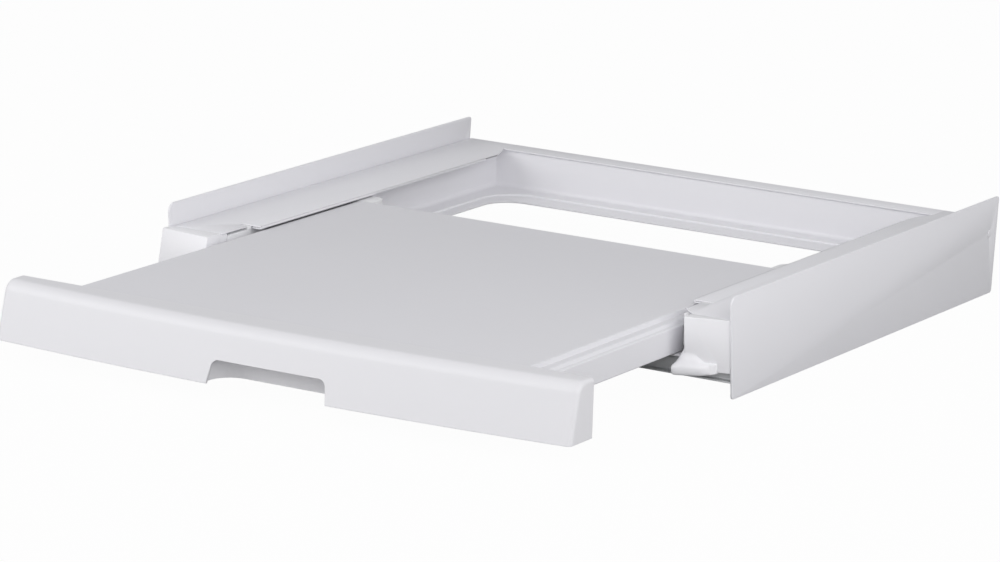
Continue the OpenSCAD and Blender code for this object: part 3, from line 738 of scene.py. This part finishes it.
def cut_recess(skin, shape, recess):
    """Cuts the finger recess out of the foot of the panel."""
    half, tall, taper = recess.width / 2 / MM, recess.height / MM, recess.taper / MM
    begin = shape.back_y - shape.foot - shape.bow - CUTTER_LEAD
    below, above = shape.foot_z - CUTTER_DROP, shape.foot_z + tall
    cutter = start("plane", "recess_cutter", size=MM)
    trace([
        (-half - CUTTER_FLARE, begin, below), (-half + taper, begin, above),
        (half - taper, begin, above), (half + CUTTER_FLARE, begin, below),
    ])
    fill()
    choose_corners(lambda x, y, z: near(z, above))
    bpy.ops.mesh.bevel(offset=recess.corner, segments=8, affect="VERTICES")
    select_all()
    pull(y=CUTTER_LENGTH)
    face_outwards()
    leave(cutter)
    modify(skin, "BOOLEAN", operation="DIFFERENCE", object=cutter, solver="EXACT")
    bpy.data.objects.remove(cutter)


def panel_ribs(shape, recess_height):
    """Ribs behind the front; the middle one stands clear of the cup."""
    ribs = []
    top_z, back_y = shape.top_z - shape.wall + ROOT, shape.back_y - RIB_SET_BACK
    turn_z = shape.top_z - RIB_TURN_DROP
    for place in RIB_PLACES:
        x = place - RIB_THICKNESS / 2
        foot_z = shape.foot_z + (RIB_FOOT if place else recess_height + MIDDLE_RIB_GAP)
        turn_y = shape.inner_y(place, turn_z)
        outline = [
            (x, shape.inner_y(place, foot_z), foot_z), (x, turn_y, turn_z),
            (x, turn_y + RIB_TURN_STEP, top_z), (x, back_y, top_z), (x, back_y, foot_z),
        ]
        ribs.append(slab("panel_rib", outline, x=RIB_THICKNESS))
    return ribs


def panel_bosses(shape):
    """A boss with a pilot hole for each screw that holds the panel."""
    bosses = []
    z = shape.top_z - BOSS_DROP
    for x in BOSS_PLACES:
        begin = shape.inner_y(x, z)
        boss = start(
            "cylinder", "panel_boss", vertices=32, radius=BOSS_RADIUS * MM,
            depth=(shape.back_y - begin) * MM, location=at(x, (shape.back_y + begin) / 2, z),
            rotation=(math.radians(90), 0, 0),
        )
        choose("FACE", lambda f: f.normal.y > 0.9)
        bpy.ops.mesh.inset(thickness=(BOSS_RADIUS - PILOT_RADIUS) * MM)
        pull(y=-PILOT_DEPTH)
        bosses.append(leave(boss))
    return bosses


class KIT_OT_front_panel(bpy.types.Operator):
    """Bowed front panel with its rolled top edge, finger recess, ribs and screw bosses"""

    bl_idname = "kit.front_panel"
    bl_label = "Model the front panel"

    def execute(self, context):
        sizes, recess = context.scene.kit_panel, context.scene.kit_recess
        shape = PanelShape(sizes)
        skin = panel_skin(shape, sizes)
        cut_recess(skin, shape, recess)
        soften(skin, sizes.rim_round / MM)
        inside = panel_ribs(shape, recess.height / MM) + panel_bosses(shape)
        for part in inside:
            soften(part, 0.25)
        join(skin, *inside)
        even_shading(skin)
        plastic = coated_material(
            "panel_plastic", context.scene.kit_finishes.panel_colour, edge=(0.84, 0.84, 0.86),
            rough=(0.36, 0.44), drift=0.01, skin_scale=1500.0, edge_radius=0.3, bump_strength=0.02,
            bump_depth=0.01, shader_values={SPECULAR: 0.4},
        )
        dress(skin, plastic, "front_panel")
        return {"FINISHED"}


class KIT_OT_finger_cup(bpy.types.Operator):
    """Cup behind the finger recess, open to the front and below"""

    bl_idname = "kit.finger_cup"
    bl_label = "Model the finger cup"

    def execute(self, context):
        recess, panel = context.scene.kit_recess, context.scene.kit_panel
        (_, front, foot), (side, back, roof) = box_mm("finger_cup")
        begin = front - CUP_LEAD
        cup = start("plane", "finger_cup_piece", size=MM)
        trace([(-side, begin, foot), (-side, back, foot), (side, back, foot), (side, begin, foot)])
        choose_corners(lambda x, y, z: near(y, back))
        bpy.ops.mesh.bevel(offset=recess.cup_corner, segments=12, affect="VERTICES")
        fill()
        select_all()
        pull(z=roof - foot)
        face_outwards()
        choose(
            "EDGE",
            lambda e: both_ends(e, lambda x, y, z: near(z, roof))
            and not both_ends(e, lambda x, y, z: y < front),
        )
        bpy.ops.mesh.bevel(
            offset=CUP_ROOF_ROUND * MM, segments=4, affect="EDGES", clamp_overlap=False
        )
        choose("FACE", lambda f: f.normal.z < -0.9)
        bpy.ops.mesh.delete(type="FACE")
        (_, _, panel_foot), (_, _, panel_top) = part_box("front_panel")
        cut(at(0, front + CUP_FRONT_STEP, foot), (0, panel_foot - panel_top, panel.foot - panel.top))
        leave(cup)
        thicken(cup, recess.cup_wall)
        soften(cup, 0.3)
        keep_inside(cup, "finger_cup")
        even_shading(cup)
        # The cup takes the caps' lighter plastic, painted light that brightens the recess
        dress(cup, cap_plastic(context.scene.kit_finishes), "finger_cup")
        return {"FINISHED"}


# The end caps, in millimetres and degrees. Bow is the turn of the face in plan, slope its lean,
# lead how far it stands before the skirt, reach how far the nose stands before it, and cheek the
# plan of the wall that closes the corner between the cap and the guide.
Cap = namedtuple("Cap", "node side inner outer lead bow slope reach cheek")
CAPS = (
    Cap(
        "left_end_cap", side=-1, inner=244.5, outer=300.0, lead=7.0, bow=7.0, slope=12.0,
        reach=8.0, cheek=((244.5, 7), (244.5, 17.7), (247, 17.7), (247, 7)),
    ),
    Cap(
        "right_end_cap", side=1, inner=257.7, outer=297.7, lead=-3.0, bow=15.5, slope=-4.5,
        reach=17.0, cheek=((257.9, -2.4), (247.6, 14.8), (248.6, 15.4), (258.9, -1.6)),
    ),
)
CHEEK_FOOT = -45
CHEEK_HEIGHT = 43.7
NOSE_TOP = -40.6
NOSE_X = 251.0
# The nose is turned this much more than the face, and its front is round by so much
NOSE_TURN = 10.5
NOSE_ROUND = 2.5
# The wedges between nose and face: share of the nose's depth, and height on the widest nose
WEDGES = ((1.0, 6), (0.55, 12), (0.22, 21))
WIDEST_REACH = 17
# The top of a wedge: places along the nose, and shares of the wedge's height there
WEDGE_CREST = ((1, 0.25), (7, 0.8), (10, 1), (18, 0.8), (26, 0.2))
# How far a wedge sinks into the nose below it and into the face behind it
WEDGE_SINK = 1
WEDGE_ROOT = 3
VOXEL = 0.7
# The rounds of smoothing: height that they reach above the nose's top, and passes
SMOOTHING = ((34, 20), (28, 30), (20, 30))
SMOOTH_BEFORE_Y = -1.5
# How far the blended form lies under the sharp faces, and the cuts inside them
UNDER = 0.3
INSIDE = 0.03


def blended_nose(cap, form):
    """A copy of the cap whose nose runs into the face by wedges, a remesh and smoothing."""
    blend = twin(form, f"{cap.node}_nose")
    bow, slope = math.radians(cap.bow), math.radians(cap.slope)
    turned = bow + math.radians(NOSE_TURN)
    face_y = (NOSE_TOP * math.tan(slope) - cap.lead) / math.cos(bow)
    face_y -= (cap.outer - cap.inner) * math.tan(bow)
    base = NOSE_TOP - WEDGE_SINK
    for share, height in WEDGES:
        points = []
        for along, rise in WEDGE_CREST:
            x = NOSE_X + along * math.cos(turned)
            front = face_y - cap.reach + along * math.sin(turned) + NOSE_ROUND
            face = face_y + (x - cap.inner) * math.tan(bow)
            crest = NOSE_TOP + height * rise * cap.reach / WIDEST_REACH
            points += [
                (cap.side * x, face - (face - front) * share, base),
                (cap.side * x, face + WEDGE_ROOT, base),
                (cap.side * x, face + WEDGE_ROOT, crest),
            ]
        wedge = start("plane", "nose_wedge", size=MM)
        trace(points)
        select_all()
        bpy.ops.mesh.convex_hull()
        join(blend, leave(wedge))
    modify(blend, "REMESH", mode="VOXEL", voxel_size=VOXEL * MM, use_smooth_shade=True)
    modify(blend, "DISPLACE", strength=-UNDER * MM, mid_level=0.0)
    enter(blend)
    for rise, passes in SMOOTHING:
        choose_corners(lambda x, y, z: z < NOSE_TOP + rise and y < SMOOTH_BEFORE_Y)
        bpy.ops.mesh.vertices_smooth(factor=0.5, repeat=passes)
    return leave(blend)


def cut_off_nose(cap, form):
    """Leaves the sharp body, without the nose before the face and inside the inner edge."""
    bow, slope = math.radians(cap.bow), math.radians(cap.slope)
    x, y = cap.side * (cap.outer + cap.lead * math.sin(bow)), -cap.lead * math.cos(bow) + INSIDE
    enter(form)
    cut(at(x, y, 0), (cap.side * math.sin(bow), -math.cos(bow), math.tan(slope)))
    cut(at(cap.side * (cap.inner + INSIDE), 0, 0), (-cap.side, 0, 0))
    close_cuts()
    face_outwards()
    leave(form)


class KIT_OT_end_caps(bpy.types.Operator):
    """End caps over the front edges of the skirts"""

    bl_idname = "kit.end_caps"
    bl_label = "Model the end caps"

    def execute(self, context):
        plastic = cap_plastic(context.scene.kit_finishes)
        for cap in CAPS:
            form = merged_copy(cap.node)
            nose = blended_nose(cap, form)
            cut_off_nose(cap, form)
            soften(form, 0.6, 3)
            plan = [(cap.side * x, y, CHEEK_FOOT) for x, y in cap.cheek]
            cheek = slab("cap_cheek", plan, z=CHEEK_HEIGHT)
            soften(cheek, 0.2)
            join(form, nose, cheek)
            dress(keep_inside(form, cap.node), plastic, cap.node)
        return {"FINISHED"}


# Nylon, zinc and rubber


class KIT_OT_nylon(bpy.types.Operator):
    """Nylon for the guides, stops and glides"""

    bl_idname = "kit.nylon"
    bl_label = "Finish the sliding pieces"

    def execute(self, context):
        nylon = coated_material(
            "slide_nylon", context.scene.kit_finishes.nylon_colour, edge=(0.88, 0.88, 0.89),
            rough=(0.38, 0.52), drift=0.02, skin_scale=1100.0, edge_radius=0.5, bump_strength=0.15,
            bump_depth=0.03, shader_values={SPECULAR: 0.45},
        )
        for kind in ("guide", "stop", "glide"):
            for node in (f"left_{kind}", f"right_{kind}"):
                dress(soft_copy(node, 0.5, 3), nylon, node)
        return {"FINISHED"}


class KIT_OT_zinc(bpy.types.Operator):
    """Galvanised brace and stiffeners, and plated screws"""

    bl_idname = "kit.zinc"
    bl_label = "Finish the zinc pieces"

    def execute(self, context):
        sheet = coated_material(
            "galvanised_sheet", (0.68, 0.69, 0.7), edge=(0.8, 0.81, 0.82), rough=(0.28, 0.45),
            drift=0.25, skin_scale=90.0, edge_radius=0.5, bump_strength=0.15, bump_depth=0.05,
            shader_values={"Metallic": 0.6},
        )
        for node in ("front_brace", "front_stiffener", "rear_stiffener"):
            dress(soft_copy(node, 0.3), sheet, node)
        plated = coated_material(
            "plated_screws", (0.62, 0.63, 0.65), edge=(0.8, 0.8, 0.82), rough=(0.2, 0.36),
            drift=0.12, skin_scale=400.0, edge_radius=0.3, bump_strength=0.1, bump_depth=0.02,
            shader_values={"Metallic": 1.0},
        )
        for node in ("brace_screws", "guide_screws", "panel_screws", "glide_screws"):
            finish(node, plated)
        return {"FINISHED"}


class KIT_OT_pads(bpy.types.Operator):
    """Rubber pads under the pan"""

    bl_idname = "kit.pads"
    bl_label = "Finish the pads"

    def execute(self, context):
        rubber = coated_material(
            "pad_rubber", (0.05, 0.05, 0.053), edge=(0.09, 0.09, 0.09), rough=(0.6, 0.8),
            drift=0.3, skin_scale=500.0, edge_radius=0.5, bump_strength=0.3, bump_depth=0.1,
            shader_values={SPECULAR: 0.3},
        )
        finish("frame_pads", rubber)
        return {"FINISHED"}


# The stage

# The camera's axes are its right, its up and the way back from what it sees
CAMERA_PLACE = at(2238.4, -3633.7, 997.3)
CAMERA_AXES = (
    (0.85423, 0.51894, 0.03143),
    (-0.14497, 0.17971, 0.97298),
    (0.49927, -0.8357, 0.22875),
)
FOCAL_PX = 4851.0
IMAGE_PX = (1000.0, 562.0)
CENTRE_PX = (503.3, 280.7)
SENSOR_MM = 36.0
# The lamps: turn from the front towards the right and height, in degrees, and distance in metres
LAMPS = {
    "front": (27, 27, 2.3),
    "left": (-40, 25, 2.3),
    "right": (75, 20, 2.0),
    "back": (160, 35, 2.5),
}
LAMP_SIZE = 1.8
LAMP_AIM = Vector((0, -0.05, 0.05))
SKY_COLOUR = (0.98, 0.985, 1.0, 1)
WHITE = (1, 1, 1, 1)
FLOOR_SIZE = 60
FLOOR_GREY = (0.46, 0.46, 0.46, 1)
# The share of plain white in the floor that the camera sees; the rest shows the object's shadow
FLOOR_WHITE = 0.975


def seen_mask(tree):
    """1 for what the camera sees, straight or through a clear piece, 0 for light on the object."""
    path = tree.nodes.new("ShaderNodeLightPath").outputs
    seen = math_node(tree, "ADD", path["Is Camera Ray"], path["Is Transmission Ray"])
    return math_node(tree, "MINIMUM", seen, 1.0)


def lay_floor():
    bpy.ops.object.select_all(action="DESELECT")
    bpy.ops.mesh.primitive_plane_add(size=FLOOR_SIZE)
    floor = bpy.context.object
    floor.name = "studio_floor"
    paper = bpy.data.materials.new("white_floor")
    paper.use_nodes = True
    tree = paper.node_tree
    shader = tree.nodes["Principled BSDF"]
    for key, value in (("Base Color", FLOOR_GREY), ("Roughness", 0.9), (SPECULAR, 0.1)):
        shader.inputs[key].default_value = value
    glow = add(tree, "ShaderNodeEmission", {"Color": WHITE, "Strength": 1.0})
    mix = add(tree, "ShaderNodeMixShader", {
        "Fac": math_node(tree, "MULTIPLY", seen_mask(tree), FLOOR_WHITE),
        1: shader.outputs["BSDF"], 2: glow.outputs["Emission"],
    })
    put(tree, tree.nodes["Material Output"].inputs["Surface"], mix.outputs["Shader"])
    floor.data.materials.append(paper)


def light_sky(scene):
    world = bpy.data.worlds.new("studio_world")
    scene.world = world
    world.use_nodes = True
    tree = world.node_tree
    sky = tree.nodes["Background"]
    sky.inputs["Color"].default_value = SKY_COLOUR
    sky.inputs["Strength"].default_value = scene.kit_light.sky
    white = add(tree, "ShaderNodeBackground", {"Color": WHITE, "Strength": 1.0})
    mix = add(tree, "ShaderNodeMixShader", {
        "Fac": seen_mask(tree), 1: sky.outputs["Background"], 2: white.outputs["Background"],
    })
    put(tree, tree.nodes["World Output"].inputs["Surface"], mix.outputs["Shader"])


def hang_lamps(scene):
    for place, (turn, height, distance) in LAMPS.items():
        turn, height = math.radians(turn), math.radians(height)
        level = math.cos(height)
        ray = Vector((level * math.sin(turn), -level * math.cos(turn), math.sin(height)))
        data = bpy.data.lights.new(f"{place}_lamp", "AREA")
        data.shape = "SQUARE"
        data.size = LAMP_SIZE
        data.energy = getattr(scene.kit_light, place)
        lamp = bpy.data.objects.new(f"{place}_lamp", data)
        scene.collection.objects.link(lamp)
        lamp.location = LAMP_AIM + ray * distance
        lamp.rotation_euler = ray.to_track_quat("Z", "Y").to_euler()


def place_camera(scene):
    data = bpy.data.cameras.new("photo_camera")
    data.sensor_width = SENSOR_MM
    data.sensor_fit = "HORIZONTAL"
    data.lens = FOCAL_PX / IMAGE_PX[0] * SENSOR_MM
    data.shift_x = (IMAGE_PX[0] / 2 - CENTRE_PX[0]) / IMAGE_PX[0]
    data.shift_y = (CENTRE_PX[1] - IMAGE_PX[1] / 2) / IMAGE_PX[0]
    data.clip_end = 100
    camera = bpy.data.objects.new("photo_camera", data)
    scene.collection.objects.link(camera)
    turn = Matrix(CAMERA_AXES).transposed().to_4x4()
    camera.matrix_world = Matrix.Translation(CAMERA_PLACE) @ turn
    scene.camera = camera


class KIT_OT_stage(bpy.types.Operator):
    """Floor, even light, soft lamps and the camera"""

    bl_idname = "kit.stage"
    bl_label = "Set the stage"

    def execute(self, context):
        scene = context.scene
        lay_floor()
        light_sky(scene)
        hang_lamps(scene)
        place_camera(scene)
        scene.view_settings.view_transform = "Standard"
        return {"FINISHED"}


STEPS = (
    KIT_OT_coated_steel,
    KIT_OT_shelf,
    KIT_OT_front_panel,
    KIT_OT_finger_cup,
    KIT_OT_end_caps,
    KIT_OT_nylon,
    KIT_OT_zinc,
    KIT_OT_pads,
    KIT_OT_stage,
)


class KIT_PT_panel(bpy.types.Panel):
    bl_idname = "KIT_PT_panel"
    bl_label = "Stacking kit"
    bl_space_type = "VIEW_3D"
    bl_region_type = "UI"
    bl_category = "Stacking kit"

    def draw(self, context):
        layout = self.layout
        scene = context.scene
        for group in (scene.kit_finishes, scene.kit_panel, scene.kit_recess, scene.kit_light):
            for name in group.__annotations__:
                layout.prop(group, name)
        for step in STEPS:
            layout.operator(step.bl_idname)


CLASSES = (KitFinishes, PanelSizes, RecessSizes, KitLight, *STEPS, KIT_PT_panel)


def register():
    for item in CLASSES:
        bpy.utils.register_class(item)
    bpy.types.Scene.kit_finishes = PointerProperty(type=KitFinishes)
    bpy.types.Scene.kit_panel = PointerProperty(type=PanelSizes)
    bpy.types.Scene.kit_recess = PointerProperty(type=RecessSizes)
    bpy.types.Scene.kit_light = PointerProperty(type=KitLight)


def unregister():
    del bpy.types.Scene.kit_light
    del bpy.types.Scene.kit_recess
    del bpy.types.Scene.kit_panel
    del bpy.types.Scene.kit_finishes
    for item in reversed(CLASSES):
        bpy.utils.unregister_class(item)


def main():
    register()
    for step in STEPS:
        family, name = step.bl_idname.split(".")
        getattr(getattr(bpy.ops, family), name)()


if __name__ == "__main__":
    main()
